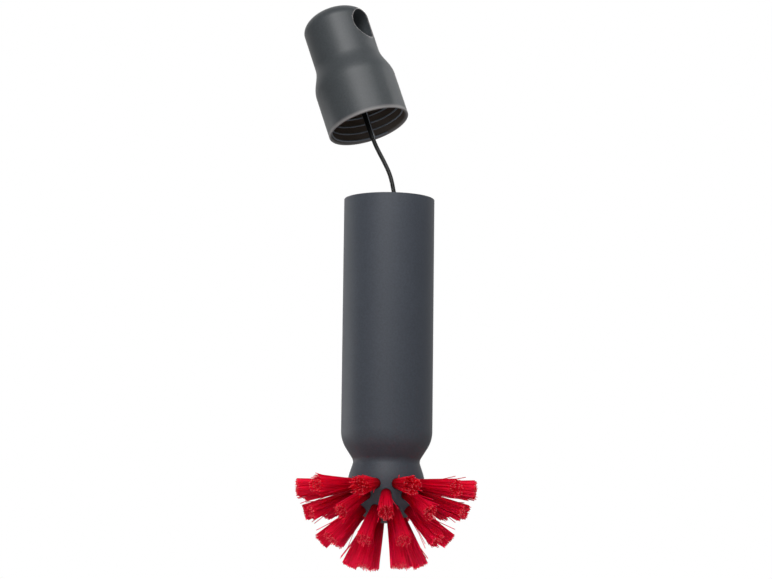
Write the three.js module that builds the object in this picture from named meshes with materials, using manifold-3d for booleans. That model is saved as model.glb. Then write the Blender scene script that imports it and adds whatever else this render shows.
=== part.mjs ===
// Bottle brush: a hollow handle with a tufted ball head, and a screw cap that carries a slim straw brush.
// Millimetres, +Z up the handle. The origin is on the handle's axis, halfway up its straight grip.
// The cap is off and leans on its springy stem, with the straw brush still inside the handle.
import * as THREE from 'three';
import { mergeVertices } from 'three/addons/utils/BufferGeometryUtils.js';
import Module from 'manifold-3d';

const wasm = await Module();
wasm.setup();

const degrees = THREE.MathUtils.degToRad;

// Fits shared by pieces that meet
const seatGap = 0.3;
const threadGap = 1.0;

// Handle tube
const gripLength = 102.6;
const tubeRadius = 20;
const tubeWall = 1.2;
const rimRound = 0.4;
const shoulderRound = 14.4;
const shoulderSlope = degrees(32.5);
const neckRadius = 14.6;
const neckFillet = 3.3;
const ledgeWidth = 0.9;
const socketRadius = 9;
const socketDepth = 9;

// Threaded neck, a collar that stands inside the handle's mouth
const collarWall = 1.5;
const collarRecess = 1.5;
const flangeThickness = 2;
const flangeClearance = 1;

// Ball head
const ballRadius = 16.8;
const flareStraight = 3.5;
const postRadius = 4;
const topCutHeight = 2.6;
const spigotChamfer = 0.8;

// Tufts, as rings from the widest one down: latitudes and turns are in degrees, latitudes below the equator
const upperReach = 39.7;
const upperFan = 4.3;
const secondReach = 37.7;
const secondFan = 3.4;
const thirdReach = 37.2;
const thirdFan = 3.5;
const bottomReach = 39.2;
const bottomFan = 3.3;
const rings = [
  { name: 'upper', hole: 1, lean: 3, reach: upperReach, fan: upperFan, count: 11, start: 16.36 },
  { name: 'second', hole: 16.6, lean: 19.3, reach: secondReach, fan: secondFan, count: 11, start: 0 },
  { name: 'third', hole: 41.2, lean: 41.2, reach: thirdReach, fan: thirdFan, count: 10, start: 16 },
  { name: 'bottom', hole: 65.7, lean: 65.7, reach: bottomReach, fan: bottomFan, count: 6, start: 23 },
];
const strandRadius = 0.36;
const strandTipRadius = 0.3;
const strandRoot = 1.2;
const strandSides = 3;
const raggedness = 0.8;
const raggedTurn = 2.4;
const tuftRootRadius = 1.4;
const tuftCircles = [
  { strands: 1, share: 0 },
  { strands: 7, share: 1 },
];

// Cap
const skirtLength = 20.2;
const capWall = 1.5;
const waistHeight = 13.4;
const capTopRadius = 15;
const capTopStraight = 16.9;
const domeHeight = 8.1;
const hangBoreRadius = 7.2;
const hangBoreDrop = 4.9;
const hangBoreTurn = degrees(57.5);
const ceilingThickness = 2;

// How the cap leans over the handle's mouth
const leanPivotHeight = 5.04;
const leanReach = 30.92;
const leanTilt = degrees(20.49);
const leanTurn = degrees(151);

// Plug in the cap, whose long tapered sleeve keeps the stem from kinking, then stem and straw brush
const plugFlangeRadius = 5;
const plugFlangeThickness = 1.4;
const sleeveRadius = 1.9;
const sleeveMouthRadius = 1.3;
const sleeveTipRadius = 1;
const sleeveOverhang = 6;
const stemRadius = 0.95;
const stemSides = 8;
const stemStepsPerMillimetre = 0.4;
const ferruleRadius = 1.9;
const ferruleLength = 6.5;
const strawBrushRadius = 5;
const strawBrushLength = 34;
const strawBrushTurns = 9;
const strawBrushSteps = 2 * strawBrushTurns;
const strawBrushGroove = 0.8;
const stemRoute = [
  [-7.54, 4.18, 79.4],
  [-6.75, 3.95, 77.4],
  [-5.75, 3.75, 75.2],
  [-4.65, 3.5, 73.0],
  [-3.5, 3.25, 70.8],
  [-2.4, 2.95, 68.6],
  [-1.35, 2.6, 66.4],
  [-0.4, 2.2, 64.2],
  [0.35, 1.8, 62.0],
  [0.95, 1.4, 59.8],
  [1.45, 1.0, 57.4],
  [1.95, 0.65, 54.8],
  [2.45, 0.35, 52.4],
  [2.95, 0.15, 50.0],
  [3.45, 0.05, 47.8],
  [4.0, 0.0, 45.5],
];

// Smoothness of the round forms
const roundSegments = 40;
const headSegments = 33;
const smallSegments = 16;
const arcSteps = 4;
const rimSteps = 3;
const sliceSteps = 2;
const weldTolerance = 1e-4;

// Levels that follow from the sizes above
const rimHeight = gripLength / 2;
const shoulderTop = -gripLength / 2;
const tubeInnerRadius = tubeRadius - tubeWall;
const boreRadius = tubeInnerRadius - ledgeWidth;
const skirtRadius = tubeInnerRadius - seatGap;
const skirtInnerRadius = skirtRadius - capWall;
const collarRadius = skirtInnerRadius - threadGap;
const flangeTop = rimHeight - skirtLength - flangeClearance;
const ledgeHeight = flangeTop - flangeThickness;
const shoulderArcs = shoulderRound + neckFillet;
const coneDrop = tubeRadius - neckRadius - shoulderArcs * (1 - Math.cos(shoulderSlope));
const neckHeight = shoulderTop - shoulderArcs * Math.sin(shoulderSlope) - coneDrop / Math.tan(shoulderSlope);
const filletCentre = neckRadius + neckFillet;
const ballDrop = Math.sqrt((ballRadius + neckFillet) ** 2 + flareStraight ** 2 - filletCentre ** 2);
const ballHeight = neckHeight - ballDrop;
const sliceBore = postRadius + seatGap;

const plastic = new THREE.MeshStandardMaterial({ color: 0x3d4149, roughness: 0.55, metalness: 0 });
const capPlastic = new THREE.MeshStandardMaterial({ color: 0x3f4346, roughness: 0.55, metalness: 0 });
const innerPlastic = new THREE.MeshStandardMaterial({ color: 0x2a2c30, roughness: 0.5, metalness: 0 });
const bristleNylon = new THREE.MeshStandardMaterial({ color: 0xb00a28, roughness: 0.45, metalness: 0 });
const stemCoating = new THREE.MeshStandardMaterial({ color: 0x16171a, roughness: 0.35, metalness: 0 });
const ferruleMetal = new THREE.MeshStandardMaterial({ color: 0xb4b6b8, roughness: 0.3, metalness: 1 });

// Points on a circle in the profile plane, from one angle to another, both ends included
function arc(radiusCentre, heightCentre, radius, from, to, steps = arcSteps) {
  const points = [];
  for (let i = 0; i <= steps; i += 1) {
    const angle = from + ((to - from) * i) / steps;
    points.push([radiusCentre + radius * Math.cos(angle), heightCentre + radius * Math.sin(angle)]);
  }
  return points;
}

// Keeps only positions, shares vertices and drops the triangles that collapse at a lathe's poles
function welded(geometry) {
  geometry.deleteAttribute('normal');
  geometry.deleteAttribute('uv');
  const merged = mergeVertices(geometry, weldTolerance);
  const index = merged.getIndex().array;
  const kept = [];
  for (let i = 0; i < index.length; i += 3) {
    const [a, b, c] = [index[i], index[i + 1], index[i + 2]];
    if (a !== b && b !== c && c !== a) {
      kept.push(a, b, c);
    }
  }
  merged.setIndex(kept);
  return merged;
}

// A solid of revolution about Z: the profile runs up its outer side and down its inner side
function revolve(profile, segments = roundSegments) {
  const points = profile.map(([radius, height]) => new THREE.Vector2(Math.max(radius, 0), height));
  const geometry = new THREE.LatheGeometry(points, segments);
  geometry.rotateX(Math.PI / 2);
  return welded(geometry);
}

function solidOf(geometry) {
  return new wasm.Manifold(new wasm.Mesh({
    numProp: 3,
    vertProperties: new Float32Array(geometry.getAttribute('position').array),
    triVerts: new Uint32Array(geometry.getIndex().array),
  }));
}

function geometryOf(solid) {
  const mesh = solid.getMesh();
  const geometry = new THREE.BufferGeometry();
  geometry.setAttribute('position', new THREE.BufferAttribute(mesh.vertProperties, 3));
  geometry.setIndex(new THREE.BufferAttribute(mesh.triVerts, 1));
  return geometry;
}

function piece(name, geometry, material) {
  geometry.computeVertexNormals();
  const mesh = new THREE.Mesh(geometry, material);
  mesh.name = name;
  return mesh;
}

// Hollow handle: plain open mouth, straight grip, rounded shoulder, drawn-in neck and the head's socket
function handleTube() {
  const socketTop = neckHeight + socketDepth;
  const cavityFloor = Math.max(shoulderTop, socketTop);
  return piece('handle_tube', revolve([
    [socketRadius, neckHeight],
    ...arc(filletCentre, neckHeight, neckFillet, Math.PI, Math.PI - shoulderSlope),
    ...arc(tubeRadius - shoulderRound, shoulderTop, shoulderRound, -shoulderSlope, 0, 2 * arcSteps),
    ...arc(tubeRadius - rimRound, rimHeight - rimRound, rimRound, 0, Math.PI / 2, rimSteps),
    ...arc(tubeInnerRadius + rimRound, rimHeight - rimRound, rimRound, Math.PI / 2, Math.PI, rimSteps),
    [tubeInnerRadius, ledgeHeight],
    [boreRadius, ledgeHeight],
    [boreRadius, cavityFloor],
    [socketRadius, socketTop],
    [socketRadius, neckHeight],
  ]), plastic);
}

// Collar that the cap screws on, standing on a flange that rests on the handle's ledge
function threadedNeck() {
  const collarBore = collarRadius - collarWall;
  const collarTop = rimHeight - collarRecess;
  const flangeRadius = tubeInnerRadius - seatGap;
  return piece('threaded_neck', revolve([
    [collarBore, ledgeHeight],
    [flangeRadius, ledgeHeight],
    [flangeRadius, flangeTop],
    [collarRadius, flangeTop],
    ...arc(collarRadius - rimRound, collarTop - rimRound, rimRound, 0, Math.PI / 2, rimSteps),
    [collarBore, collarTop],
    [collarBore, ledgeHeight],
  ]), innerPlastic);
}

// Core of the ball: spigot for the handle's socket, flare, top of the ball, and the tufted slices' post.
// The flare is an arc under the neck and a straight stretch that runs tangent into the ball.
function brushHead() {
  const spigotRadius = socketRadius - seatGap;
  const spigotTop = neckHeight + socketDepth;
  const flare = Math.atan2(ballDrop, filletCentre) - Math.atan2(flareStraight, ballRadius + neckFillet);
  const postEnd = Math.acos(postRadius / ballRadius);
  const topCut = Math.asin(topCutHeight / ballRadius);
  return piece('brush_head', revolve([
    ...arc(0, ballHeight, ballRadius, -Math.PI / 2, -postEnd),
    [postRadius, ballHeight + topCutHeight],
    ...arc(0, ballHeight, ballRadius, topCut, flare),
    ...arc(filletCentre, neckHeight, neckFillet, Math.PI + flare, Math.PI),
    [spigotRadius, neckHeight],
    [spigotRadius, spigotTop - spigotChamfer],
    [spigotRadius - spigotChamfer, spigotTop],
    [0, spigotTop],
  ], headSegments), plastic);
}

// One straight bristle strand as a slim three-sided prism between two points
function strand(root, tip) {
  const along = tip.clone().sub(root);
  const geometry = new THREE.CylinderGeometry(strandTipRadius, strandRadius, along.length(), strandSides);
  const cylinderAxis = new THREE.Vector3(0, 1, 0);
  geometry.applyQuaternion(new THREE.Quaternion().setFromUnitVectors(cylinderAxis, along.normalize()));
  const middle = root.clone().lerp(tip, 1 / 2);
  geometry.translate(middle.x, middle.y, middle.z);
  return welded(geometry);
}

// Direction from the ball's centre: the turn is counted from the front, towards +X
function headDirection(latitude, turn) {
  return new THREE.Vector3(
    Math.cos(latitude) * Math.sin(turn),
    -Math.cos(latitude) * Math.cos(turn),
    -Math.sin(latitude),
  );
}

// One tuft: circles of strands that fan out from their hole in the ball to the cut tips
function tuft(ring, tuftNumber) {
  const turn = degrees(ring.start + (360 * tuftNumber) / ring.count);
  const hole = headDirection(degrees(ring.hole), turn).multiplyScalar(ballRadius);
  const lean = headDirection(degrees(ring.lean), turn);
  const side = new THREE.Vector3(Math.cos(turn), Math.sin(turn), 0);
  const rise = new THREE.Vector3().crossVectors(lean, side);
  const centre = new THREE.Vector3(0, 0, ballHeight);
  const strands = [];
  for (const circle of tuftCircles) {
    for (let i = 0; i < circle.strands; i += 1) {
      const angle = (2 * Math.PI * i) / circle.strands + tuftNumber;
      const across = side.clone().multiplyScalar(Math.cos(angle)).addScaledVector(rise, Math.sin(angle));
      const reach = ring.reach + raggedness * Math.sin(raggedTurn * (strands.length + tuftNumber));
      const root = centre.clone().add(hole).addScaledVector(across, circle.share * tuftRootRadius);
      const tip = centre.clone().addScaledVector(lean, reach);
      tip.addScaledVector(across, circle.share * ring.fan);
      const inward = root.clone().sub(tip).setLength(strandRoot);
      strands.push(strand(root.clone().add(inward), tip));
    }
  }
  return strands;
}

// Latitude above the equator of the cut under a ring's slice, midway between its tufts and the next ring's
function lowerCut(ringNumber) {
  if (ringNumber === rings.length - 1) {
    return -Math.acos(sliceBore / ballRadius);
  }
  return -degrees((rings[ringNumber].hole + rings[ringNumber + 1].hole) / 2);
}

// A slice of the ball on the post, with its ring of tufts grown out of it
function bristleRing(ring, ringNumber) {
  const upper = ringNumber === 0 ? Math.asin(topCutHeight / ballRadius) : lowerCut(ringNumber - 1);
  const lower = lowerCut(ringNumber);
  const slice = [
    [sliceBore, ballHeight + ballRadius * Math.sin(lower)],
    ...arc(0, ballHeight, ballRadius, lower, upper, sliceSteps),
    [sliceBore, ballHeight + ballRadius * Math.sin(upper)],
    [sliceBore, ballHeight + ballRadius * Math.sin(lower)],
  ];
  const solids = [solidOf(revolve(slice, headSegments))];
  for (let i = 0; i < ring.count; i += 1) {
    solids.push(...tuft(ring, i).map(solidOf));
  }
  return piece(`bristle_ring_${ring.name}`, geometryOf(wasm.Manifold.union(solids)), bristleNylon);
}

// Heights inside the cap, from its mouth
const waistTop = skirtLength + waistHeight;
const domeBase = waistTop + capTopStraight;
const hangBoreHeight = domeBase - hangBoreDrop;
const ceilingHeight = hangBoreHeight - hangBoreRadius - ceilingThickness;

// The waist's smooth S from the skirt up to the narrow top, for a wall at the given depth under the skin
function waistCurve(depth, steps = 2 * arcSteps) {
  const points = [];
  for (let i = 0; i <= steps; i += 1) {
    const share = (1 - Math.cos((Math.PI * i) / steps)) / 2;
    const radius = skirtRadius + (capTopRadius - skirtRadius) * share - depth;
    points.push([radius, skirtLength + (waistHeight * i) / steps]);
  }
  return points;
}

// Domed cap: threaded skirt, waist, narrow top and a hang hole right through the top
function capShell() {
  const quarter = arc(0, 0, 1, 0, Math.PI / 2, 2 * arcSteps);
  const dome = quarter.map(([across, up]) => [capTopRadius * across, domeBase + domeHeight * up]);
  const body = revolve([
    [0, ceilingHeight],
    [capTopRadius - capWall, ceilingHeight],
    ...waistCurve(capWall).reverse(),
    ...arc(skirtRadius - capWall / 2, capWall / 2, capWall / 2, Math.PI, 2 * Math.PI),
    ...waistCurve(0),
    ...dome,
  ]);
  const boreLength = 4 * capTopRadius;
  const bore = new THREE.CylinderGeometry(hangBoreRadius, hangBoreRadius, boreLength, roundSegments);
  bore.rotateZ(hangBoreTurn - Math.PI);
  bore.translate(0, 0, hangBoreHeight);
  return piece('cap_shell', geometryOf(solidOf(body).subtract(solidOf(welded(bore)))), capPlastic);
}

// Plug under the cap's ceiling, with the tapered sleeve that holds the stem's upper end
function stemPlug() {
  const top = ceilingHeight - seatGap;
  return piece('stem_plug', revolve([
    [0, -sleeveOverhang],
    [sleeveTipRadius, -sleeveOverhang],
    [sleeveMouthRadius, 0],
    [sleeveRadius, top - plugFlangeThickness],
    [plugFlangeRadius, top - plugFlangeThickness],
    [plugFlangeRadius, top],
    [0, top],
  ], smallSegments), innerPlastic);
}

const stemPoints = stemRoute.map((point) => new THREE.Vector3(...point));

function flexibleStem() {
  const route = new THREE.CatmullRomCurve3(stemPoints);
  const section = new THREE.Shape();
  section.absarc(0, 0, stemRadius, 0, 2 * Math.PI);
  const steps = Math.round(route.getLength() * stemStepsPerMillimetre);
  const outline = new THREE.Shape(section.getSpacedPoints(stemSides).slice(0, stemSides));
  const tube = new THREE.ExtrudeGeometry(outline, { steps, extrudePath: route });
  return piece('flexible_stem', welded(tube), stemCoating);
}

// Sleeve crimped on the stem's lower end, in a group whose +Z looks back up the stem
function stemFerrule() {
  return piece('stem_ferrule', revolve([
    [0, -seatGap - ferruleLength],
    [ferruleRadius, -seatGap - ferruleLength],
    ...arc(ferruleRadius - rimRound, -seatGap - rimRound, rimRound, 0, Math.PI / 2, rimSteps),
    [0, -seatGap],
  ], smallSegments), ferruleMetal);
}

const strawBrushTop = -2 * seatGap - ferruleLength;

// Slim brush under the ferrule, with the shallow turns of its wound bristles
function strawBrush() {
  const profile = [[0, strawBrushTop - strawBrushLength]];
  for (let i = 0; i <= strawBrushSteps; i += 1) {
    const depth = i % 2 === 0 ? strawBrushGroove : 0;
    profile.push([strawBrushRadius - depth, strawBrushTop - strawBrushLength * (1 - i / strawBrushSteps)]);
  }
  profile.push([0, strawBrushTop]);
  return piece('straw_brush', revolve(profile, smallSegments), bristleNylon);
}

function capGroup() {
  const axis = new THREE.Vector3(
    Math.sin(leanTilt) * Math.cos(leanTurn),
    Math.sin(leanTilt) * Math.sin(leanTurn),
    Math.cos(leanTilt),
  );
  const group = new THREE.Group();
  group.quaternion.setFromUnitVectors(new THREE.Vector3(0, 0, 1), axis);
  group.position.set(0, 0, rimHeight + leanPivotHeight).addScaledVector(axis, leanReach);
  group.add(capShell(), stemPlug());
  return group;
}

// The straw brush hangs from the stem's lower end and leans until its lowest turn rests on the handle's bore
function strawBrushGroup() {
  const end = stemPoints.at(-1);
  const offset = Math.hypot(end.x, end.y);
  const lowestTurn = strawBrushLength * (1 - 1 / strawBrushSteps) - strawBrushTop;
  const reach = Math.hypot(lowestTurn, strawBrushRadius);
  const tilt = Math.asin((boreRadius - seatGap - offset) / reach) - Math.atan2(strawBrushRadius, lowestTurn);
  const outward = new THREE.Vector3(end.x / offset, end.y / offset, 0);
  const upward = new THREE.Vector3(0, 0, Math.cos(tilt)).addScaledVector(outward, -Math.sin(tilt));
  const group = new THREE.Group();
  group.quaternion.setFromUnitVectors(new THREE.Vector3(0, 0, 1), upward);
  group.position.copy(end);
  group.add(stemFerrule(), strawBrush());
  return group;
}

const bottleBrush = new THREE.Group();
bottleBrush.add(handleTube(), threadedNeck(), brushHead(), ...rings.map(bristleRing));
bottleBrush.add(capGroup(), flexibleStem(), strawBrushGroup());
bottleBrush.updateMatrixWorld(true);

export default bottleBrush;
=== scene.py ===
import math
import bmesh
import bpy
from mathutils import Matrix, Vector


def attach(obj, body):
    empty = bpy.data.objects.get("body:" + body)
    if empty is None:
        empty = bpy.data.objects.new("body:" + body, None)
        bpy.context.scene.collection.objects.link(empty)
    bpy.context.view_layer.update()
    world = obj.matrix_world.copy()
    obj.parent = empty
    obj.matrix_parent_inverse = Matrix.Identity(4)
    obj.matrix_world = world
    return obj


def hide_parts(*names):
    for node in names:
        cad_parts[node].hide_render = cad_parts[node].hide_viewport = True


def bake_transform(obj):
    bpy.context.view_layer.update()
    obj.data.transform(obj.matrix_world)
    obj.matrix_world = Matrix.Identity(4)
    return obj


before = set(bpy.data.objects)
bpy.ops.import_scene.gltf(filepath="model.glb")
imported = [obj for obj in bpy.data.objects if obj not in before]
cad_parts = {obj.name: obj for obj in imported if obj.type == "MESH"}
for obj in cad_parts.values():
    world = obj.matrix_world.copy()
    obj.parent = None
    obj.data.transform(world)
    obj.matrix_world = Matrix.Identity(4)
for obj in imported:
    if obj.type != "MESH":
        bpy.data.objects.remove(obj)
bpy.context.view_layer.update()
mm = 0.001  # pieces are in mm and degrees, the camera and the studio in metres
creaseAngle = math.radians(50)  # edges sharper than this stay creased
print("frame loaded:", len(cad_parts), "CAD nodes")


# camera, at the photograph's angle

cameraView = {
    "place": (-0.00103, -1.004, -0.1246),
    "pitch": math.radians(7.7),  # it looks up, so the mouth's rim shows as a low arch
    "roll": math.radians(-0.665),
    "lens": 107.11, "sensor": 36,  # in mm
}


def placeCamera():
    pitch, roll = cameraView["pitch"], cameraView["roll"]
    forward = Vector((0, math.cos(pitch), math.sin(pitch)))
    level, upright = Vector((1, 0, 0)), Vector((0, -math.sin(pitch), math.cos(pitch)))
    right = level * math.cos(roll) - upright * math.sin(roll)
    up = upright * math.cos(roll) + level * math.sin(roll)
    data = bpy.data.cameras.new("studioCamera")
    data.lens = cameraView["lens"]
    data.sensor_width = cameraView["sensor"]
    data.sensor_fit = "HORIZONTAL"
    data.clip_start = 0.01
    camera = bpy.data.objects.new("studioCamera", data)
    turn = Matrix((right, up, -forward)).transposed().to_4x4()
    camera.matrix_world = Matrix.Translation(cameraView["place"]) @ turn
    bpy.context.scene.collection.objects.link(camera)
    bpy.context.scene.camera = camera


placeCamera()
print("camera placed")


# small helpers for nodes, meshes and pieces

def linear(hexColour):
    channels = [int(hexColour[i:i + 2], 16) / 255 for i in (1, 3, 5)]
    return [c / 12.92 if c <= 0.04045 else ((c + 0.055) / 1.055) ** 2.4 for c in channels] + [1]


def addNode(tree, kind, inputs={}, **settings):
    node = tree.nodes.new(kind)
    for name, value in settings.items():
        setattr(node, name, value)
    for key, value in inputs.items():
        if isinstance(value, bpy.types.NodeSocket):
            tree.links.new(value, node.inputs[key])
        else:
            node.inputs[key].default_value = value
    return node.outputs


def startMaterial(name):
    material = bpy.data.materials.new(name)
    material.use_nodes = True
    material.node_tree.nodes.clear()
    return material, material.node_tree


def startTree(name, inputs):
    tree = bpy.data.node_groups.new(name, "GeometryNodeTree")
    tree.interface.new_socket("Geometry", in_out="OUTPUT", socket_type="NodeSocketGeometry")
    for label, kind in inputs.items():
        tree.interface.new_socket(label, in_out="INPUT", socket_type="NodeSocket" + kind)
    return tree, addNode(tree, "NodeGroupInput")


def endTree(tree, geometry, material):
    real = addNode(tree, "GeometryNodeRealizeInstances", {"Geometry": geometry})[0]
    smooth = addNode(tree, "GeometryNodeSetShadeSmooth", {"Geometry": real})[0]
    coated = addNode(tree, "GeometryNodeSetMaterial", {"Geometry": smooth, "Material": material})[0]
    addNode(tree, "NodeGroupOutput", {"Geometry": coated})


def keepResult(obj, modifier):
    # the modifier's result becomes the piece's own plain mesh
    evaluated = obj.evaluated_get(bpy.context.evaluated_depsgraph_get())
    mesh = bpy.data.meshes.new_from_object(evaluated)
    obj.modifiers.remove(modifier)
    obj.data = mesh


def grow(name, tree, values, place=Matrix()):
    # runs a tree once and keeps its result
    obj = bpy.data.objects.new(name, bpy.data.meshes.new(name))
    bpy.context.scene.collection.objects.link(obj)
    modifier = obj.modifiers.new(name, "NODES")
    modifier.node_group = tree
    for item in tree.interface.items_tree:
        if item.in_out == "INPUT":
            modifier[item.identifier] = values[item.name]
    keepResult(obj, modifier)
    obj.data.transform(place)
    print(name, "grown with", len(obj.data.polygons), "faces")
    return obj


def arc(centre, radius, start, end, steps):
    # points of (radius, height) in mm on a circle, angles in degrees
    turns = [math.radians(start + (end - start) * i / steps) for i in range(steps + 1)]
    return [(centre[0] + radius * math.cos(t), centre[1] + radius * math.sin(t)) for t in turns]


def turnTo(way):
    # the turn that takes +Z to a direction
    return Vector((0, 0, 1)).rotation_difference(way).to_matrix().to_4x4()


def meshObject(name, build):
    mesh = bpy.data.meshes.new(name)
    build.to_mesh(mesh)
    build.free()
    mesh.shade_smooth()
    mesh.set_sharp_from_angle(angle=creaseAngle)
    obj = bpy.data.objects.new(name, mesh)
    bpy.context.scene.collection.objects.link(obj)
    return obj


def lathe(name, profile, segments, place=Matrix()):
    # turns a closed outline of (radius, height) in mm about +Z
    build = bmesh.new()
    rings = []
    for radius, height in profile:
        count = segments if radius > 1e-6 else 1  # a pole is one point
        turns = [2 * math.pi * i / segments for i in range(count)]
        spots = [(radius * math.cos(t) * mm, radius * math.sin(t) * mm, height * mm) for t in turns]
        rings.append([build.verts.new(place @ Vector(spot)) for spot in spots])
    for lower, upper in zip(rings, rings[1:] + rings[:1]):
        for i in range(segments):
            j = (i + 1) % segments
            corners = [lower[i % len(lower)], lower[j % len(lower)]]
            corners += [upper[j % len(upper)], upper[i % len(upper)]]
            corners = list(dict.fromkeys(corners))  # a pole comes up twice
            if len(corners) > 2:
                build.faces.new(corners)
    bmesh.ops.recalc_face_normals(build, faces=build.faces)
    return meshObject(name, build)


def finishPiece(obj, material, body, nodes):
    obj.data.materials.clear()
    obj.data.materials.append(material)
    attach(obj, body)
    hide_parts(*nodes)


def carve(obj, cutter):
    # takes the cutter away from the piece and drops it
    modifier = obj.modifiers.new("carve", "BOOLEAN")
    modifier.operation = "DIFFERENCE"
    modifier.solver = "EXACT"
    modifier.object = cutter
    keepResult(obj, modifier)
    bpy.data.objects.remove(cutter)


# materials

def mouldedPolypropylene(name, colour, grainDepth, gloss):
    # polypropylene moulded in a spark-eroded tool: a dull skin whose fine grain spreads the highlight,
    # with a pale painted highlight on its marked edges. The pits are about 0.1 mm wide, and are drawn wider
    # so that they show.
    material, tree = startMaterial(name)
    spot = addNode(tree, "ShaderNodeTexCoord")["Object"]
    grain = addNode(tree, "ShaderNodeTexNoise", {"Vector": spot, "Scale": 1 / (0.8 * mm), "Detail": 3.0})[0]
    cloud = addNode(tree, "ShaderNodeTexNoise", {"Vector": spot, "Scale": 1 / (14 * mm), "Detail": 2.0})[0]
    tone = addNode(tree, "ShaderNodeMapRange", {"Value": cloud, "To Min": 0.96, "To Max": 1.04})[0]
    speck = addNode(tree, "ShaderNodeMapRange", {
        "Value": grain, "From Min": 0.35, "From Max": 0.65, "To Min": 0.9, "To Max": 1.1})[0]
    shade = addNode(tree, "ShaderNodeMath", {0: tone, 1: speck}, operation="MULTIPLY")[0]
    baseTone = addNode(tree, "ShaderNodeVectorMath", {
        0: linear(colour)[:3], "Scale": shade}, operation="SCALE")[0]
    # painted highlight: the marked edges of the hang hole and the lip are mixed to pale grey
    paintedEdgeHighlight = addNode(tree, "ShaderNodeAttribute", attribute_name="paintedEdgeHighlight")["Fac"]
    skin = addNode(tree, "ShaderNodeMix", {
        "Factor": paintedEdgeHighlight, 6: baseTone, 7: linear("#807d7d")}, data_type="RGBA")[2]
    dull = addNode(tree, "ShaderNodeMapRange", {
        "Value": grain, "To Min": gloss - 0.07, "To Max": gloss + 0.07})[0]
    bump = addNode(tree, "ShaderNodeBump", {
        "Height": grain, "Strength": grainDepth, "Distance": 0.05 * mm})[0]
    shader = addNode(tree, "ShaderNodeBsdfPrincipled", {
        "Base Color": skin, "Roughness": dull, "IOR": 1.49, "Normal": bump})[0]
    addNode(tree, "ShaderNodeOutputMaterial", {"Surface": shader})
    return material


def extrudedNylon(name):
    # crimson nylon filament, clear enough to glow where light comes through: darker towards its root as
    # painted shade, and paler and pinker towards its tip, with its cut ends painted dark as painted shade
    # and some pale as painted highlights
    material, tree = startMaterial(name)
    along = addNode(tree, "ShaderNodeAttribute", attribute_name="along")["Fac"]
    tone = addNode(tree, "ShaderNodeAttribute", attribute_name="tone")["Fac"]
    # painted shade: darker towards the root, from #900222 at the root to full colour halfway along
    rise = addNode(tree, "ShaderNodeMapRange", {"Value": along, "From Min": 0.0, "From Max": 0.5})[0]
    body = addNode(tree, "ShaderNodeMix", {
        "Factor": rise, 6: linear("#900222"), 7: linear("#f2024c")}, data_type="RGBA")[2]
    # paler and pinker from halfway along to the tip
    thin = addNode(tree, "ShaderNodeMapRange", {"Value": along, "From Min": 0.5, "From Max": 1.0})[0]
    pinkerToTip = addNode(tree, "ShaderNodeMix", {
        "Factor": thin, 6: body, 7: linear("#ff2a68")}, data_type="RGBA")[2]
    light = addNode(tree, "ShaderNodeMapRange", {"Value": tone, "To Min": 0.66, "To Max": 1.3})[0]
    baseTone = addNode(tree, "ShaderNodeVectorMath", {0: pinkerToTip, "Scale": light}, operation="SCALE")[0]
    # cut ends: painted dark as painted shade, and pale on some strands as painted highlights
    end = addNode(tree, "ShaderNodeMapRange", {"Value": along, "From Min": 0.985, "From Max": 0.995})[0]
    bright = addNode(tree, "ShaderNodeMapRange", {"Value": tone, "From Min": 0.6, "From Max": 0.9})[0]
    tip = addNode(tree, "ShaderNodeMix", {
        "Factor": bright, 6: linear("#960c2c"), 7: linear("#f2aab6")}, data_type="RGBA")[2]
    colour = addNode(tree, "ShaderNodeMix", {"Factor": end, 6: baseTone, 7: tip}, data_type="RGBA")[2]
    shell = addNode(tree, "ShaderNodeBsdfPrincipled", {
        "Base Color": colour, "Roughness": 0.4, "IOR": 1.53, "Specular IOR Level": 0.2})[0]
    glow = addNode(tree, "ShaderNodeBsdfTranslucent", {"Color": linear("#ff0a54")})[0]
    shader = addNode(tree, "ShaderNodeMixShader", {"Fac": 0.6, 1: shell, 2: glow})[0]
    addNode(tree, "ShaderNodeOutputMaterial", {"Surface": shader})
    return material


def blackCoating(name):
    # black nylon drawn over a spring wire: smooth, with a narrow soft highlight along it
    material, tree = startMaterial(name)
    spot = addNode(tree, "ShaderNodeTexCoord")["Object"]
    drawn = addNode(tree, "ShaderNodeTexNoise", {"Vector": spot, "Scale": 1 / (1.2 * mm), "Detail": 2.0})[0]
    dull = addNode(tree, "ShaderNodeMapRange", {"Value": drawn, "To Min": 0.32, "To Max": 0.4})[0]
    bump = addNode(tree, "ShaderNodeBump", {"Height": drawn, "Strength": 0.12, "Distance": 0.05 * mm})[0]
    shader = addNode(tree, "ShaderNodeBsdfPrincipled", {
        "Base Color": linear("#0a0b0c"), "Roughness": dull, "IOR": 1.5, "Specular IOR Level": 0.3,
        "Normal": bump})[0]
    addNode(tree, "ShaderNodeOutputMaterial", {"Surface": shader})
    return material


def rolledSteel(name):
    # stainless strip rolled into a sleeve: bright grey with fine lines round it.
    # The lines are drawn coarser than real ones, so that they show.
    material, tree = startMaterial(name)
    spot = addNode(tree, "ShaderNodeTexCoord")["Object"]
    stretched = addNode(tree, "ShaderNodeMapping", {"Vector": spot, "Scale": (0.1, 0.1, 1.0)})[0]
    lines = addNode(tree, "ShaderNodeTexNoise", {
        "Vector": stretched, "Scale": 1 / (0.25 * mm), "Detail": 2.0})[0]
    dull = addNode(tree, "ShaderNodeMapRange", {"Value": lines, "To Min": 0.34, "To Max": 0.44})[0]
    shader = addNode(tree, "ShaderNodeBsdfPrincipled", {
        "Base Color": linear("#b4b6b8"), "Metallic": 1.0, "Roughness": dull})[0]
    addNode(tree, "ShaderNodeOutputMaterial", {"Surface": shader})
    return material


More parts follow.
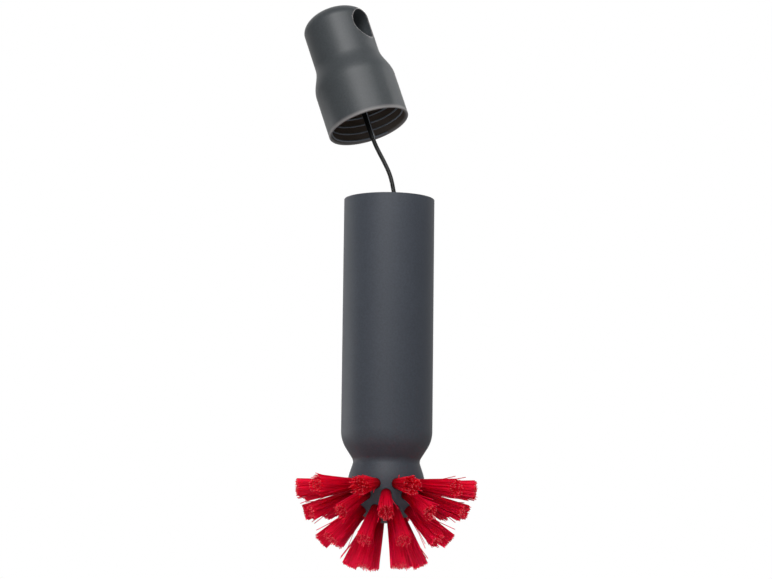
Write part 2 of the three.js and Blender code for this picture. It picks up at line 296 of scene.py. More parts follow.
handleSkin = mouldedPolypropylene("greyPolypropyleneGrip", "#3c414a", 0.25, 0.58)
capSkin = mouldedPolypropylene("greyPolypropyleneCap", "#3c4043", 0.6, 0.48)
# the inside of the cap, painted a darker taupe as painted shade
insideShadeSkin = mouldedPolypropylene("taupeInsidePaintedShade", "#43382e", 0.2, 0.5)
# the threads are painted paler than the cap, as a painted highlight on their ridges
threadHighlightSkin = mouldedPolypropylene("threadPaleAsPaintedHighlight", "#747a84", 0.1, 0.3)
# a pale line on the plug's sleeve, as a painted highlight
sleeveHighlightSkin = mouldedPolypropylene("sleevePaintedHighlight", "#a8aeb8", 0.1, 0.3)
bristleSkin = extrudedNylon("crimsonNylonBristle")
coatingSkin = blackCoating("blackNylonCoating")
ferruleSkin = rolledSteel("stainlessSteelSleeve")
print("materials made")


# handle

handle = {
    "radius": 20, "wall": 1.2, "halfGrip": 51.3, "rimRound": 0.3,
    "shoulderRound": 14.4, "shoulderSlope": 32.5, "neckRadius": 14.6, "neckFillet": 3.3,
    "boreRadius": 17.9, "ledgeHeight": 28.1, "socketRadius": 9, "socketDepth": 9,
    "segments": 160,
}


def neckLevel():
    slope = math.radians(handle["shoulderSlope"])
    arcs = handle["shoulderRound"] + handle["neckFillet"]
    cone = handle["radius"] - handle["neckRadius"] - arcs * (1 - math.cos(slope))
    return -handle["halfGrip"] - arcs * math.sin(slope) - cone / math.tan(slope)


neckHeight = neckLevel()


def handleTube():
    h = handle
    inner = h["radius"] - h["wall"]
    top, bottom = h["halfGrip"], -h["halfGrip"]
    socketTop = neckHeight + h["socketDepth"]
    neckCentre = (h["neckRadius"] + h["neckFillet"], neckHeight)
    shoulderCentre = (h["radius"] - h["shoulderRound"], bottom)
    outline = [(h["socketRadius"], neckHeight)]
    outline += arc(neckCentre, h["neckFillet"], 180, 180 - h["shoulderSlope"], 12)
    outline += arc(shoulderCentre, h["shoulderRound"], -h["shoulderSlope"], 0, 24)
    outline += arc((h["radius"] - h["rimRound"], top - h["rimRound"]), h["rimRound"], 0, 90, 6)
    outline += arc((inner + h["rimRound"], top - h["rimRound"]), h["rimRound"], 90, 180, 6)
    outline += [(inner, h["ledgeHeight"]), (h["boreRadius"], h["ledgeHeight"]), (h["boreRadius"], bottom)]
    outline += [(h["socketRadius"], socketTop)]
    return lathe("handleTube", outline, h["segments"])


finishPiece(handleTube(), handleSkin, "handle", ["handle_tube"])
print("handle turned")


# thread ridges, as a helix with a rounded section that fades out at both ends

ridge = {
    "pitch": 3.55, "height": 0.45, "base": 0.4, "points": 96, "sides": 8,
    "fade": 0.03, "tip": 0.05,  # shares of the thread's length and of its height
}


def ridgeTree(name, material):
    tree, given = startTree(name, {
        "Radius": "Float", "Rise": "Float", "Turns": "Float", "Height": "Float", "Base": "Float",
        "Sides": "Int", "Fade": "Float"})
    helix = addNode(tree, "GeometryNodeCurveSpiral", {
        "Resolution": ridge["points"], "Rotations": given["Turns"], "Start Radius": given["Radius"],
        "End Radius": given["Radius"], "Height": given["Rise"], "Reverse": True})[0]
    place = addNode(tree, "GeometryNodeSplineParameter")["Factor"]
    start = addNode(tree, "ShaderNodeMapRange", {
        "Value": place, "From Max": given["Fade"], "To Min": ridge["tip"]})[0]
    rest = addNode(tree, "ShaderNodeMath", {0: 1.0, 1: place}, operation="SUBTRACT")[0]
    end = addNode(tree, "ShaderNodeMapRange", {
        "Value": rest, "From Max": given["Fade"], "To Min": ridge["tip"]})[0]
    swell = addNode(tree, "ShaderNodeMath", {0: start, 1: end}, operation="MINIMUM")[0]
    sized = addNode(tree, "GeometryNodeSetCurveRadius", {"Curve": helix, "Radius": swell})[0]
    section = addNode(tree, "GeometryNodeCurvePrimitiveCircle", {
        "Resolution": given["Sides"], "Radius": given["Height"]})["Curve"]
    wide = addNode(tree, "ShaderNodeMath", {0: given["Base"], 1: given["Height"]}, operation="DIVIDE")[0]
    stretch = addNode(tree, "ShaderNodeCombineXYZ", {0: 1.0, 1: wide, 2: 1.0})[0]
    flat = addNode(tree, "GeometryNodeTransform", {"Geometry": section, "Scale": stretch})[0]
    mesh = addNode(tree, "GeometryNodeCurveToMesh", {
        "Curve": sized, "Profile Curve": flat, "Fill Caps": True})[0]
    endTree(tree, mesh, material)
    return tree


threadTree = ridgeTree("threadRidge", threadHighlightSkin)


def threadRidge(name, radius, start, turns, place=Matrix()):
    rise = ridge["pitch"] * turns
    lift = place @ Matrix.Translation((0, 0, start * mm))
    return grow(name, threadTree, {
        "Radius": radius * mm, "Rise": rise * mm, "Turns": turns, "Height": ridge["height"] * mm,
        "Base": ridge["base"] * mm, "Sides": ridge["sides"], "Fade": ridge["fade"]}, lift)


# collar inside the mouth

collar = {
    "radius": 16, "bore": 14.5, "top": 49.8, "flangeRadius": 18.5, "flangeTop": 30.1,
    "threadStart": 35.5, "threadTurns": 3.2, "segments": 128,
}


def threadedCollar():
    c = collar
    edge = handle["rimRound"]
    outline = [(c["bore"], handle["ledgeHeight"]), (c["flangeRadius"], handle["ledgeHeight"])]
    outline += [(c["flangeRadius"], c["flangeTop"]), (c["radius"], c["flangeTop"])]
    outline += arc((c["radius"] - edge, c["top"] - edge), edge, 0, 90, 5)
    outline += arc((c["bore"] + edge, c["top"] - edge), edge, 90, 180, 5)
    return lathe("threadedCollar", outline, c["segments"])


finishPiece(threadedCollar(), threadHighlightSkin, "handle", ["threaded_neck"])
collarRidge = threadRidge("collarThread", collar["radius"], collar["threadStart"], collar["threadTurns"])
finishPiece(collarRidge, threadHighlightSkin, "handle", ["threaded_neck"])
print("collar threaded")


# ball head, drilled for the tufts

ball = {
    "radius": 16.8, "flareStraight": 3.5, "seatGap": 0.3, "holeRadius": 2.45, "holeDepth": 3.2,
    "holeSides": 20, "segments": 160,
}
tufts = {
    "strands": 180, "steps": 4, "sides": 4, "radius": 0.165, "rootSpread": 2.15, "rootGap": 0.4,
    "ragged": 0.65, "bend": 0.36, "strayShare": 0.022, "strayBend": 2.6, "strayCut": 1.6, "sway": 0.5,
    "rings": {  # latitudes under the equator and turns from the front, in degrees
        "bristle_ring_upper": {
            "hole": 1, "lean": 3, "reach": 39.1, "fan": 4.3, "count": 11, "start": 16.36, "droop": 0},
        "bristle_ring_second": {
            "hole": 16.6, "lean": 18.7, "reach": 37.2, "fan": 3.5, "count": 11, "start": 0, "droop": 2},
        "bristle_ring_third": {
            "hole": 41.2, "lean": 41.2, "reach": 36.9, "fan": 3.6, "count": 10, "start": 16, "droop": 0},
        "bristle_ring_bottom": {
            "hole": 65.7, "lean": 65.7, "reach": 38.6, "fan": 3.3, "count": 6, "start": 23, "droop": 0},
    },
}
filletCentre = handle["neckRadius"] + handle["neckFillet"]
tangentReach = ball["radius"] + handle["neckFillet"]
ballDrop = math.sqrt(tangentReach ** 2 + ball["flareStraight"] ** 2 - filletCentre ** 2)
ballHeight = neckHeight - ballDrop


def towards(latitude, turn=0):
    # direction from the ball's centre, turned from the front towards +X
    low, about = math.radians(latitude), math.radians(turn)
    return Vector((math.cos(low) * math.sin(about), -math.cos(low) * math.cos(about), -math.sin(low)))


def tuftHoles():
    build = bmesh.new()
    for ring in tufts["rings"].values():
        for i in range(ring["count"]):
            way = towards(ring["hole"], ring["start"] + 360 * i / ring["count"])
            middle = Vector((0, 0, ballHeight)) + way * ball["radius"]
            bmesh.ops.create_cone(
                build, cap_ends=True, segments=ball["holeSides"], radius1=ball["holeRadius"] * mm,
                radius2=ball["holeRadius"] * mm, depth=2 * ball["holeDepth"] * mm,
                matrix=Matrix.Translation(middle * mm) @ turnTo(way))
    return meshObject("tuftHoles", build)


def ballHead():
    spigot = handle["socketRadius"] - ball["seatGap"]
    spigotTop = neckHeight + handle["socketDepth"] - ball["seatGap"]
    flare = math.atan2(ballDrop, filletCentre) - math.atan2(ball["flareStraight"], tangentReach)
    outline = arc((0, ballHeight), ball["radius"], -90, math.degrees(flare), 60)
    outline[0] = (0, outline[0][1])  # the lower pole, exactly on the axis
    outline += arc((filletCentre, neckHeight), handle["neckFillet"], 180 + math.degrees(flare), 180, 12)
    outline += [(spigot, neckHeight), (spigot, spigotTop), (0, spigotTop)]
    head = lathe("ballHead", outline, ball["segments"])
    carve(head, tuftHoles())
    head.data.shade_smooth()
    head.data.set_sharp_from_angle(angle=creaseAngle)
    return head


finishPiece(ballHead(), handleSkin, "handle", ["brush_head"])
print("ball head drilled")


# tufts, whose strands fan out from the holes to a cut face

def tuftTree(name, material):
    tree, given = startTree(name, {
        "Tufts": "Int", "Strands": "Int", "Steps": "Int", "Sides": "Int", "Radius": "Float",
        "Centre": "Vector", "Hole": "Vector", "Lean": "Vector", "Rise": "Vector", "Reach": "Float",
        "Start": "Float", "Root Spread": "Float", "Tip Spread": "Float", "Depth": "Float",
        "Ragged": "Float", "Bend": "Float", "Stray Share": "Float", "Stray Bend": "Float",
        "Stray Cut": "Float", "Sway": "Float", "Droop": "Float", "Seed": "Int"})
    # how many points there are, and which strand and tuft a point belongs to
    perTuft = addNode(tree, "ShaderNodeMath", {
        0: given["Strands"], 1: given["Steps"]}, operation="MULTIPLY")[0]
    total = addNode(tree, "ShaderNodeMath", {0: perTuft, 1: given["Tufts"]}, operation="MULTIPLY")[0]
    index = addNode(tree, "GeometryNodeInputIndex")[0]
    strandShare = addNode(tree, "ShaderNodeMath", {0: index, 1: given["Steps"]}, operation="DIVIDE")[0]
    strand = addNode(tree, "ShaderNodeMath", {0: strandShare}, operation="FLOOR")[0]
    step = addNode(tree, "ShaderNodeMath", {0: index, 1: given["Steps"]}, operation="MODULO")[0]
    tuftShare = addNode(tree, "ShaderNodeMath", {0: strand, 1: given["Strands"]}, operation="DIVIDE")[0]
    tuft = addNode(tree, "ShaderNodeMath", {0: tuftShare}, operation="FLOOR")[0]
    inTuft = addNode(tree, "ShaderNodeMath", {0: strand, 1: given["Strands"]}, operation="MODULO")[0]
    # from a little inside the hole to the cut tip
    last = addNode(tree, "ShaderNodeMath", {0: given["Steps"], 1: 1.0}, operation="SUBTRACT")[0]
    share = addNode(tree, "ShaderNodeMath", {0: step, 1: last}, operation="DIVIDE")[0]
    buried = addNode(tree, "ShaderNodeMath", {0: 0.0, 1: given["Depth"]}, operation="SUBTRACT")[0]
    along = addNode(tree, "ShaderNodeMapRange", {"Value": share, "To Min": buried, "To Max": 1.0})[0]
    # an even spread of strands over the round hole, each a golden angle on from the last
    filled = addNode(tree, "ShaderNodeMath", {0: inTuft, 1: 0.5}, operation="ADD")[0]
    part = addNode(tree, "ShaderNodeMath", {0: filled, 1: given["Strands"]}, operation="DIVIDE")[0]
    out = addNode(tree, "ShaderNodeMath", {0: part}, operation="SQRT")[0]
    angle = addNode(tree, "ShaderNodeMath", {0: inTuft, 1: math.pi * (3 - 5 ** 0.5), 2: tuft},
                    operation="MULTIPLY_ADD")[0]
    cosine = addNode(tree, "ShaderNodeMath", {0: angle}, operation="COSINE")[0]
    sine = addNode(tree, "ShaderNodeMath", {0: angle}, operation="SINE")[0]
    sideways = addNode(tree, "ShaderNodeCombineXYZ", {0: cosine})[0]
    upwards = addNode(tree, "ShaderNodeVectorMath", {0: given["Rise"], "Scale": sine}, operation="SCALE")[0]
    across = addNode(tree, "ShaderNodeVectorMath", {0: sideways, 1: upwards}, operation="ADD")[0]
    # root in the hole and tip on the cut face
    rootOut = addNode(tree, "ShaderNodeMath", {0: out, 1: given["Root Spread"]}, operation="MULTIPLY")[0]
    rootSide = addNode(tree, "ShaderNodeVectorMath", {0: across, "Scale": rootOut}, operation="SCALE")[0]
    root = addNode(tree, "ShaderNodeVectorMath", {0: given["Hole"], 1: rootSide}, operation="ADD")[0]
    cut = addNode(tree, "FunctionNodeRandomValue", {
        2: -1.0, 3: 1.0, "ID": strand, "Seed": given["Seed"]}, data_type="FLOAT")[1]
    even = addNode(tree, "ShaderNodeMath", {0: cut, 1: given["Ragged"], 2: given["Reach"]},
                   operation="MULTIPLY_ADD")[0]
    straySeed = addNode(tree, "ShaderNodeMath", {0: given["Seed"], 1: 23.0}, operation="ADD")[0]
    chance = addNode(tree, "FunctionNodeRandomValue", {
        "ID": strand, "Seed": straySeed}, data_type="FLOAT")[1]
    isStray = addNode(tree, "ShaderNodeMath", {0: chance, 1: given["Stray Share"]}, operation="LESS_THAN")[0]
    cutBack = addNode(tree, "ShaderNodeMath", {0: isStray, 1: given["Stray Cut"]}, operation="MULTIPLY")[0]
    reach = addNode(tree, "ShaderNodeMath", {0: even, 1: cutBack}, operation="SUBTRACT")[0]
    tipOut = addNode(tree, "ShaderNodeMath", {0: out, 1: given["Tip Spread"]}, operation="MULTIPLY")[0]
    tipSide = addNode(tree, "ShaderNodeVectorMath", {0: across, "Scale": tipOut}, operation="SCALE")[0]
    tipLean = addNode(tree, "ShaderNodeVectorMath", {0: given["Lean"], "Scale": reach}, operation="SCALE")[0]
    tip = addNode(tree, "ShaderNodeVectorMath", {0: tipLean, 1: tipSide}, operation="ADD")[0]
    straight = addNode(tree, "ShaderNodeMix", {
        "Factor": along, 4: root, 5: tip}, data_type="VECTOR", clamp_factor=False)[1]
    # every strand bends a little, a few stray outwards, and each tuft sways as one
    curlSeed = addNode(tree, "ShaderNodeMath", {0: given["Seed"], 1: 11.0}, operation="ADD")[0]
    swaySeed = addNode(tree, "ShaderNodeMath", {0: given["Seed"], 1: 37.0}, operation="ADD")[0]
    curl = addNode(tree, "FunctionNodeRandomValue", {
        0: (-1.0, -1.0, -1.0), 1: (1.0, 1.0, 1.0), "ID": strand, "Seed": curlSeed},
        data_type="FLOAT_VECTOR")[0]
    squared = addNode(tree, "ShaderNodeMath", {0: along, 1: along}, operation="MULTIPLY")[0]
    bendHere = addNode(tree, "ShaderNodeMath", {0: squared, 1: given["Bend"]}, operation="MULTIPLY")[0]
    curled = addNode(tree, "ShaderNodeVectorMath", {0: curl, "Scale": bendHere}, operation="SCALE")[0]
    strayOut = addNode(tree, "ShaderNodeMath", {0: isStray, 1: given["Stray Bend"]}, operation="MULTIPLY")[0]
    strayHere = addNode(tree, "ShaderNodeMath", {0: strayOut, 1: squared}, operation="MULTIPLY")[0]
    strayed = addNode(tree, "ShaderNodeVectorMath", {0: across, "Scale": strayHere}, operation="SCALE")[0]
    bent = addNode(tree, "ShaderNodeVectorMath", {0: curled, 1: strayed}, operation="ADD")[0]
    drift = addNode(tree, "FunctionNodeRandomValue", {
        0: (-1.0, -1.0, -1.0), 1: (1.0, 1.0, 1.0), "ID": tuft, "Seed": swaySeed},
        data_type="FLOAT_VECTOR")[0]
    swayHere = addNode(tree, "ShaderNodeMath", {0: along, 1: given["Sway"]}, operation="MULTIPLY")[0]
    swayed = addNode(tree, "ShaderNodeVectorMath", {0: drift, "Scale": swayHere}, operation="SCALE")[0]
    loose = addNode(tree, "ShaderNodeVectorMath", {0: bent, 1: swayed}, operation="ADD")[0]
    spot = addNode(tree, "ShaderNodeVectorMath", {0: straight, 1: loose}, operation="ADD")[0]
    # turned to its place round the ball
    spacing = addNode(tree, "ShaderNodeMath", {0: 2 * math.pi, 1: given["Tufts"]}, operation="DIVIDE")[0]
    turn = addNode(tree, "ShaderNodeMath", {
        0: tuft, 1: spacing, 2: given["Start"]}, operation="MULTIPLY_ADD")[0]
    turned = addNode(tree, "ShaderNodeVectorRotate", {
        "Vector": spot, "Angle": turn}, rotation_type="Z_AXIS")[0]
    placed = addNode(tree, "ShaderNodeVectorMath", {0: turned, 1: given["Centre"]}, operation="ADD")[0]
    # tufts on the front hang lower at their tips where the ring has a droop
    facing = addNode(tree, "ShaderNodeMath", {0: turn}, operation="COSINE")[0]
    front = addNode(tree, "ShaderNodeMath", {0: facing, 1: 0.0}, operation="MAXIMUM")[0]
    frontShare = addNode(tree, "ShaderNodeMath", {0: front, 1: front}, operation="MULTIPLY")[0]
    fall = addNode(tree, "ShaderNodeMath", {0: squared, 1: given["Droop"]}, operation="MULTIPLY")[0]
    fallHere = addNode(tree, "ShaderNodeMath", {0: fall, 1: frontShare}, operation="MULTIPLY")[0]
    lower = addNode(tree, "ShaderNodeCombineXYZ", {2: fallHere})[0]
    hung = addNode(tree, "ShaderNodeVectorMath", {0: placed, 1: lower}, operation="SUBTRACT")[0]
    points = addNode(tree, "GeometryNodePoints", {"Count": total, "Position": hung})[0]
    marked = addNode(tree, "GeometryNodeStoreNamedAttribute", {
        "Geometry": points, "Name": "along", "Value": along}, data_type="FLOAT")[0]
    shade = addNode(tree, "FunctionNodeRandomValue", {
        "ID": strand, "Seed": given["Seed"]}, data_type="FLOAT")[1]
    toned = addNode(tree, "GeometryNodeStoreNamedAttribute", {
        "Geometry": marked, "Name": "tone", "Value": shade}, data_type="FLOAT")[0]
    curves = addNode(tree, "GeometryNodePointsToCurves", {
        "Points": toned, "Curve Group ID": strand, "Weight": step})[0]
    section = addNode(tree, "GeometryNodeCurvePrimitiveCircle", {
        "Resolution": given["Sides"], "Radius": given["Radius"]})["Curve"]
    mesh = addNode(tree, "GeometryNodeCurveToMesh", {
        "Curve": curves, "Profile Curve": section, "Fill Caps": True})[0]
    endTree(tree, mesh, material)
    return tree


def growTufts():
    tree = tuftTree("bristleTufts", bristleSkin)
    for seed, (node, ring) in enumerate(tufts["rings"].items()):
        low = math.radians(ring["lean"])
        free = ring["reach"] - ball["radius"]
        obj = grow(node.replace("bristle_ring", "bristles"), tree, {
            "Tufts": ring["count"], "Strands": tufts["strands"], "Steps": tufts["steps"],
            "Sides": tufts["sides"], "Radius": tufts["radius"] * mm, "Centre": (0, 0, ballHeight * mm),
            "Hole": towards(ring["hole"]) * ball["radius"] * mm, "Lean": towards(ring["lean"]),
            "Rise": (0, -math.sin(low), math.cos(low)), "Reach": ring["reach"] * mm,
            "Start": math.radians(ring["start"]), "Root Spread": tufts["rootSpread"] * mm,
            "Tip Spread": ring["fan"] * mm, "Depth": (ball["holeDepth"] - tufts["rootGap"]) / free,
            "Ragged": tufts["ragged"] * mm, "Bend": tufts["bend"] * mm, "Stray Share": tufts["strayShare"],
            "Stray Bend": tufts["strayBend"] * mm, "Stray Cut": tufts["strayCut"] * mm,
            "Sway": tufts["sway"] * mm, "Droop": ring["droop"] * mm, "Seed": seed})
        finishPiece(obj, bristleSkin, "handle", [node])


growTufts()
print("tufts grown")


# cap

cap = {
    "skirtRadius": 18.5, "wall": 1.5, "skirtLength": 20.2, "waistHeight": 13.4,
    "topRadius": 15, "topStraight": 16.9, "domeHeight": 8.09, "ceiling": 2,
    "lip": 0.9, "leadIn": 1.3,  # the lip is thinned from inside, so that the thread finds its way
    "skirtRows": 14, "waistRows": 28, "topRows": 22, "segments": 144,
    "boreRadius": 7.2, "boreDrop": 4.9, "boreTurn": 57.5, "boreSides": 120, "boreStep": 0.6,
    "boreCut": 7.12,  # a little under size, because rounding its edges widens it
    "rimEdge": 0.4, "rimSplits": 2, "rimPasses": 3,  # longer edges at the rim are split, then smoothed
    "threadStart": 0.75, "threadTurns": 4.5, "threadTurn": 60,
    "pivot": (0, 0, 56.34), "reach": 30.92,  # the axis goes through the pivot, and the lip is this far up
    "tilt": 20.49, "turn": 151,
}
capTilt, capTurn = math.radians(cap["tilt"]), math.radians(cap["turn"])
capAxis = Vector((
    math.sin(capTilt) * math.cos(capTurn), math.sin(capTilt) * math.sin(capTurn), math.cos(capTilt)))
capRim = (Vector(cap["pivot"]) + capAxis * cap["reach"]) * mm
capPlace = Matrix.Translation(capRim) @ turnTo(capAxis)
waistTop = cap["skirtLength"] + cap["waistHeight"]
domeBase = waistTop + cap["topStraight"]
boreHeight = domeBase - cap["boreDrop"]
ceilingHeight = boreHeight - cap["boreRadius"] - cap["ceiling"]


def waistRadius(share, depth=0):
    # half a wave from the skirt in to the straight top
    narrowing = cap["topRadius"] - cap["skirtRadius"]
    return cap["skirtRadius"] - depth + narrowing * (1 - math.cos(math.pi * share)) / 2


def waist(depth):
    shares = [i / cap["waistRows"] for i in range(cap["waistRows"] + 1)]
    return [(waistRadius(s, depth), cap["skirtLength"] + cap["waistHeight"] * s) for s in shares]


def rows(radius, start, length, count):
    # the points inside a straight stretch, so that no face there is long and thin
    return [(radius, start + length * i / count) for i in range(1, count)]


def capShell():
    c = cap
    half = c["lip"] / 2
    skirt = rows(c["skirtRadius"], half, c["skirtLength"] - half, c["skirtRows"])
    top = rows(c["topRadius"], waistTop, c["topStraight"], c["topRows"])
    dome = [(c["topRadius"] * x, domeBase + c["domeHeight"] * y) for x, y in arc((0, 0), 1, 0, 90, 30)]
    outline = [(0, ceilingHeight), (c["topRadius"] - c["wall"], ceilingHeight)]
    outline += waist(c["wall"])[::-1] + [(c["skirtRadius"] - c["wall"], c["leadIn"])]
    outline += arc((c["skirtRadius"] - half, half), half, 180, 360, 12)
    outline += skirt + waist(0) + top + dome[:-1] + [(0, domeBase + c["domeHeight"])]
    shell = lathe("capShell", outline, c["segments"])
    through = 1.2 * c["topRadius"]  # half the cutter's length, so that it comes out on both sides
    steps = round(2 * through / c["boreStep"])
    bore = [(c["boreCut"], -through + 2 * through * i / steps) for i in range(steps + 1)]
    carve(shell, lathe("hangBore", [(0, -through)] + bore + [(0, through)], c["boreSides"], borePlace()))
    softenBore(shell)
    shell.data.transform(capPlace)
    return shell


def borePlace():
    # the bore's own +Z along the hang hole, in the cap's upright frame
    turn = math.radians(cap["boreTurn"])
    way = Vector((math.sin(turn), -math.cos(turn), 0))
    return Matrix.Translation((0, 0, boreHeight * mm)) @ turnTo(way)


def dropTwins(build):
    # drops the slivers that the cut leaves back to back on the same three corners
    byCorners = {}
    for face in build.faces:
        byCorners.setdefault(frozenset(face.verts), []).append(face)
    twins = [face for faces in byCorners.values() if len(faces) > 1 for face in faces]
    bmesh.ops.delete(build, geom=twins, context="FACES")


def softenBore(shell):
    # rounds the two edges where the hang hole breaks through the skin, and marks them and the lip for a pale
    # painted highlight
    weld, nearBore = 0.02 * mm, 0.05 * mm
    rimAngle, capCrease = math.radians(30), math.radians(60)
    inverse = borePlace().inverted()
    build = bmesh.new()
    build.from_mesh(shell.data)
    paintedEdgeHighlight = build.verts.layers.float.new("paintedEdgeHighlight")
    bmesh.ops.remove_doubles(build, verts=build.verts, dist=weld)
    bmesh.ops.triangulate(build, faces=build.faces)

    def onBore(vert):
        local = inverse @ vert.co
        return abs(math.hypot(local.x, local.y) - cap["boreCut"] * mm) < nearBore

    def rim():
        sharp = [e for e in build.edges if e.calc_face_angle(0) > rimAngle]
        return [e for e in sharp if all(onBore(v) for v in e.verts)]

    for _ in range(cap["rimSplits"]):
        edgeVerts = {v for e in rim() for v in e.verts}
        near = {e for v in edgeVerts for f in v.link_faces for e in f.edges}
        longer = [e for e in build.edges if e in near and e.calc_length() > cap["rimEdge"] * mm]
        bmesh.ops.subdivide_edges(build, edges=longer, cuts=1)
        bmesh.ops.triangulate(build, faces=build.faces)
    soft = {v for e in rim() for v in e.verts}
    soft |= {e.other_vert(v) for v in soft for e in v.link_edges}
    lip = {v for v in build.verts if v.co.z < cap["lip"] / 2 * mm}
    # the hole's two rims and the lip take the pale painted highlight
    for vert in soft | lip:
        vert[paintedEdgeHighlight] = 1
    softVerts = [v for v in build.verts if v in soft]
    for _ in range(cap["rimPasses"]):
        bmesh.ops.smooth_vert(
            build, verts=softVerts, factor=0.5, use_axis_x=True, use_axis_y=True, use_axis_z=True)
    dropTwins(build)
    build.to_mesh(shell.data)
    build.free()
    shell.data.shade_smooth()
    shell.data.set_sharp_from_angle(angle=capCrease)


def paintTwo(piece, first, second, takesSecond):
    # two materials on a piece of the cap: the test gets a face's middle in the cap's own frame, in mm
    piece.data.materials.clear()
    piece.data.materials.append(first)
    piece.data.materials.append(second)
    upright = capPlace.inverted()
    for face in piece.data.polygons:
        if takesSecond(upright @ face.center / mm):
            face.material_index = 1


def isShadedInside(spot):
    # the inside of the skirt and waist with the ceiling, but nothing of the hang hole above it, painted a
    # darker taupe as painted shade
    share = min(max((spot.z - cap["skirtLength"]) / cap["waistHeight"], 0), 1)
    inside = math.hypot(spot.x, spot.y) < waistRadius(share) - cap["lip"]
    return inside and cap["lip"] / 2 < spot.z < ceilingHeight + cap["ceiling"] / 2


capPiece = capShell()
paintTwo(capPiece, capSkin, insideShadeSkin, isShadedInside)
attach(capPiece, "cap")
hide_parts("cap_shell")
innerRadius = cap["skirtRadius"] - cap["wall"]
capTwist = capPlace @ Matrix.Rotation(math.radians(cap["threadTurn"]), 4, "Z")
capRidge = threadRidge("capThread", innerRadius, cap["threadStart"], cap["threadTurns"], capTwist)
finishPiece(capRidge, threadHighlightSkin, "cap", ["cap_shell"])
print("cap turned, bored and threaded")


# stem, a springy wire with a black coating

stem = {
    "radius": 0.95, "sides": 16, "stepLength": 0.8,
    "route": [  # from the sleeve under the cap down to the straw brush, in metres
        (-0.00754, 0.00418, 0.0794), (-0.00675, 0.00395, 0.0774), (-0.00575, 0.00375, 0.0752),
        (-0.00465, 0.0035, 0.073), (-0.0035, 0.00325, 0.0708), (-0.0024, 0.00295, 0.0686),
        (-0.00135, 0.0026, 0.0664), (-0.0004, 0.0022, 0.0642), (0.00035, 0.0018, 0.062),
        (0.00095, 0.0014, 0.0598), (0.00145, 0.001, 0.0574), (0.00195, 0.00065, 0.0548),
        (0.00245, 0.00035, 0.0524), (0.00295, 0.00015, 0.05), (0.00345, 0.00005, 0.0478),
        (0.004, 0.0, 0.0455),
    ],
    "bendFrom": (0.0024, 0.0004, 0.0524), "bendTo": (-0.0066, 0.0038, 0.0772),  # two points on the route
}


def smoothRoute(points, stepLength):
    # a soft curve through the points, as a spring wire takes
    spots = [Vector(p) for p in points]
    ends = [2 * spots[0] - spots[1]] + spots + [2 * spots[-1] - spots[-2]]
    line = []
    for before, start, end, after in zip(ends, ends[1:], ends[2:], ends[3:]):
        count = max(1, round((end - start).length / stepLength))
        for i in range(count):
            t = i / count
            slope = (end - before) * t
            bow = (2 * before - 5 * start + 4 * end - after) * t * t
            twist = (3 * start - before - 3 * end + after) * t ** 3
            line.append(0.5 * (2 * start + slope + bow + twist))
    return line + [spots[-1]]


def tubeAlong(name, line, radius, sides):
    build = bmesh.new()
    rings = []
    side = None
    for i, spot in enumerate(line):
        ahead = (line[min(i + 1, len(line) - 1)] - line[max(i - 1, 0)]).normalized()
        side = ahead.orthogonal() if side is None else side - ahead * side.dot(ahead)
        side.normalize()
        rise = ahead.cross(side)
        turns = [2 * math.pi * k / sides for k in range(sides)]
        ring = [spot + (side * math.cos(t) + rise * math.sin(t)) * radius for t in turns]
        rings.append([build.verts.new(point) for point in ring])
    for lower, upper in zip(rings, rings[1:]):
        for k in range(sides):
            j = (k + 1) % sides
            build.faces.new((lower[k], lower[j], upper[j], upper[k]))
    build.faces.new(rings[0][::-1])
    build.faces.new(rings[-1])
    bmesh.ops.recalc_face_normals(build, faces=build.faces)
    return meshObject(name, build)


stemLine = smoothRoute(stem["route"], stem["stepLength"] * mm)
stemPiece = tubeAlong("springStem", stemLine, stem["radius"] * mm, stem["sides"])
stemPiece.data.materials.append(coatingSkin)
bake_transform(stemPiece)
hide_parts("flexible_stem")


# plug under the cap's ceiling, whose long tapered sleeve keeps the stem from kinking

plug = {
    "flangeRadius": 5, "flange": 1.4, "round": 0.4, "gap": 0.3,
    "radius": 1.9, "mouthRadius": 1.3, "tipRadius": 1.25, "tipRound": 0.25,
    "overhang": 6, "lap": 0.5,  # the lap closes its tip over the stem's end
    "highlightTurn": -52.5, "highlightWidth": 15, "steps": 12, "segments": 48,
}


def stemPlug():
    p = plug
    top, foot = ceilingHeight - p["gap"], -p["overhang"] - p["lap"]
    under, tip = top - p["flange"], foot + p["tipRound"]
    lowTaper, highTaper = p["mouthRadius"] - p["tipRadius"], p["radius"] - p["mouthRadius"]
    flangeSide = p["flangeRadius"] - p["round"]
    shares = [i / p["steps"] for i in range(p["steps"] + 1)]
    outline = [(0, foot)] + arc((p["tipRadius"] - p["tipRound"], tip), p["tipRound"], -90, 0, 4)
    outline += [(p["tipRadius"] + lowTaper * s, tip * (1 - s)) for s in shares[1:-1]]
    outline += [(p["mouthRadius"] + highTaper * s, under * s) for s in shares]
    outline += arc((flangeSide, under + p["round"]), p["round"], -90, 0, 4)
    outline += arc((flangeSide, top - p["round"]), p["round"], 0, 90, 4) + [(0, top)]
    return lathe("stemPlug", outline, p["segments"], capPlace)


def onSleeveHighlight(spot):
    # a pale line painted along one side of the sleeve, as a painted highlight
    off = math.degrees(math.atan2(spot.y, spot.x)) - plug["highlightTurn"]
    return abs(off) < plug["highlightWidth"] / 2 and math.hypot(spot.x, spot.y) < plug["radius"]


plugPiece = stemPlug()
paintTwo(plugPiece, coatingSkin, sleeveHighlightSkin, onSleeveHighlight)
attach(plugPiece, "cap")
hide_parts("stem_plug")
print("plug turned")


# straw brush inside the handle: a crimped sleeve, and bristles wound up a thin core

